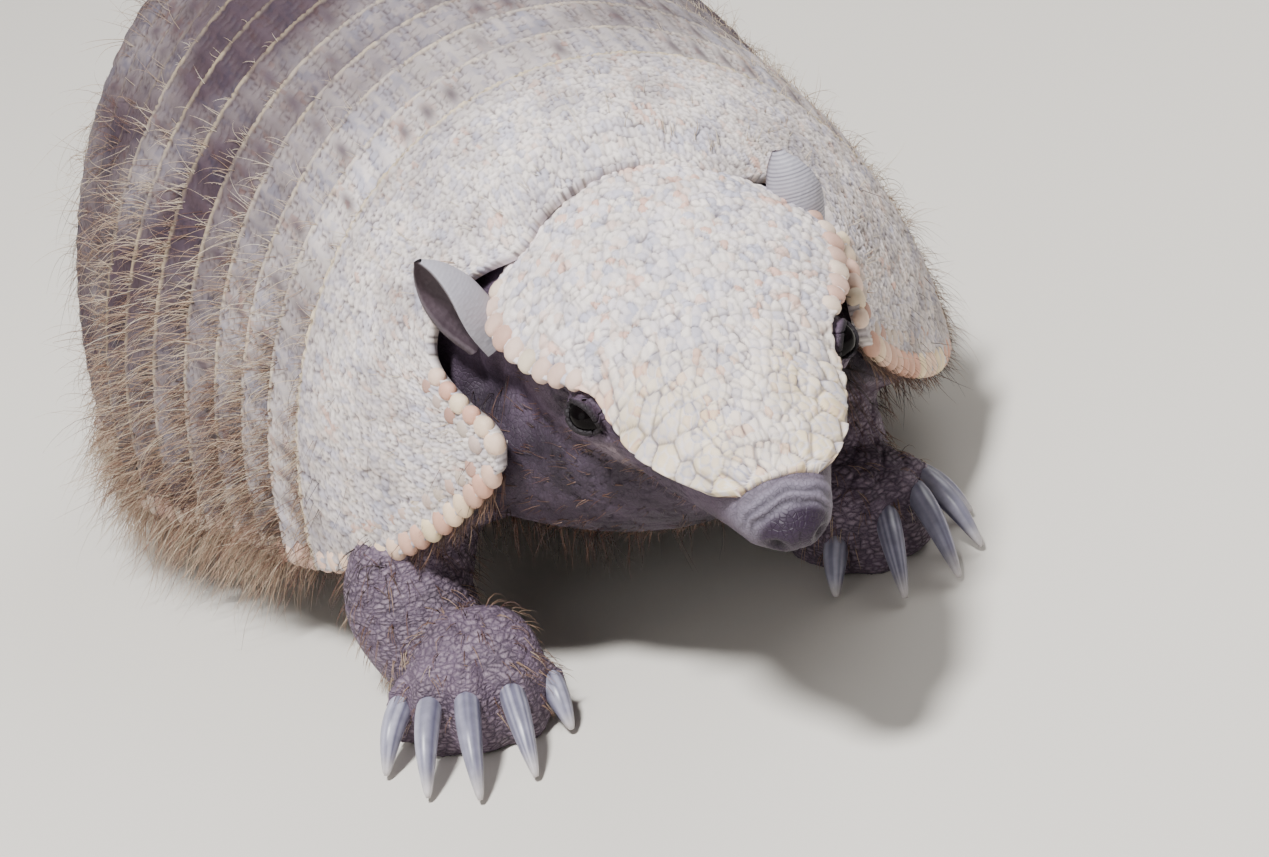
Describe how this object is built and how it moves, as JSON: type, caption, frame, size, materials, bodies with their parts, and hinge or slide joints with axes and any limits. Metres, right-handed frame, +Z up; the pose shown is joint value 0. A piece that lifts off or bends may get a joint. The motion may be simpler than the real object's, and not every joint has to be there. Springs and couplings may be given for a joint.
{
  "type": "armadillo",
  "caption": "Life-size still model of a hairy armadillo standing with head forward, with banded armour, long claws and a tapering tail.",
  "frame": {"origin": "centre of the bounding box on the floor the animal stands on", "axes": "+Z up, the animal faces -Y, +X is its left side"},
  "size_m": [0.1961, 0.4259, 0.136],
  "materials": {
    "hide": "matt, finely wrinkled",
    "pale_horn": "matt, granular",
    "grey_horn": "matt, granular",
    "dark_horn": "matt, granular",
    "claw_horn": "satin",
    "wet_eye": "wet gloss"
  },
  "bodies": {
    "root": {"head_shield": "pale_horn", "eye_right": "wet_eye", "eye_left": "wet_eye", "head": "hide", "shoulder_shield": "pale_horn", "band_1": "grey_horn", "band_2": "grey_horn", "band_3": "grey_horn", "band_4": "dark_horn", "band_5": "dark_horn", "band_6": "dark_horn", "band_7": "dark_horn", "hip_shield": "dark_horn", "neck": "hide", "ear_right": "hide", "ear_left": "hide", "tail": "dark_horn", "forefoot_right": "hide", "foreclaw_right_1": "claw_horn", "foreclaw_right_2": "claw_horn", "foreclaw_right_3": "claw_horn", "foreclaw_right_4": "claw_horn", "foreclaw_right_5": "claw_horn", "foreleg_right": "hide", "forefoot_left": "hide", "foreclaw_left_1": "claw_horn", "foreclaw_left_2": "claw_horn", "foreclaw_left_3": "claw_horn", "foreclaw_left_4": "claw_horn", "foreclaw_left_5": "claw_horn", "foreleg_left": "hide", "hindfoot_right": "hide", "hindclaw_right_1": "claw_horn", "hindclaw_right_2": "claw_horn", "hindclaw_right_3": "claw_horn", "hindclaw_right_4": "claw_horn", "hindclaw_right_5": "claw_horn", "hindleg_right": "hide", "hindfoot_left": "hide", "hindclaw_left_1": "claw_horn", "hindclaw_left_2": "claw_horn", "hindclaw_left_3": "claw_horn", "hindclaw_left_4": "claw_horn", "hindclaw_left_5": "claw_horn", "hindleg_left": "hide", "trunk": "hide"}
  },
  "joints": []
}
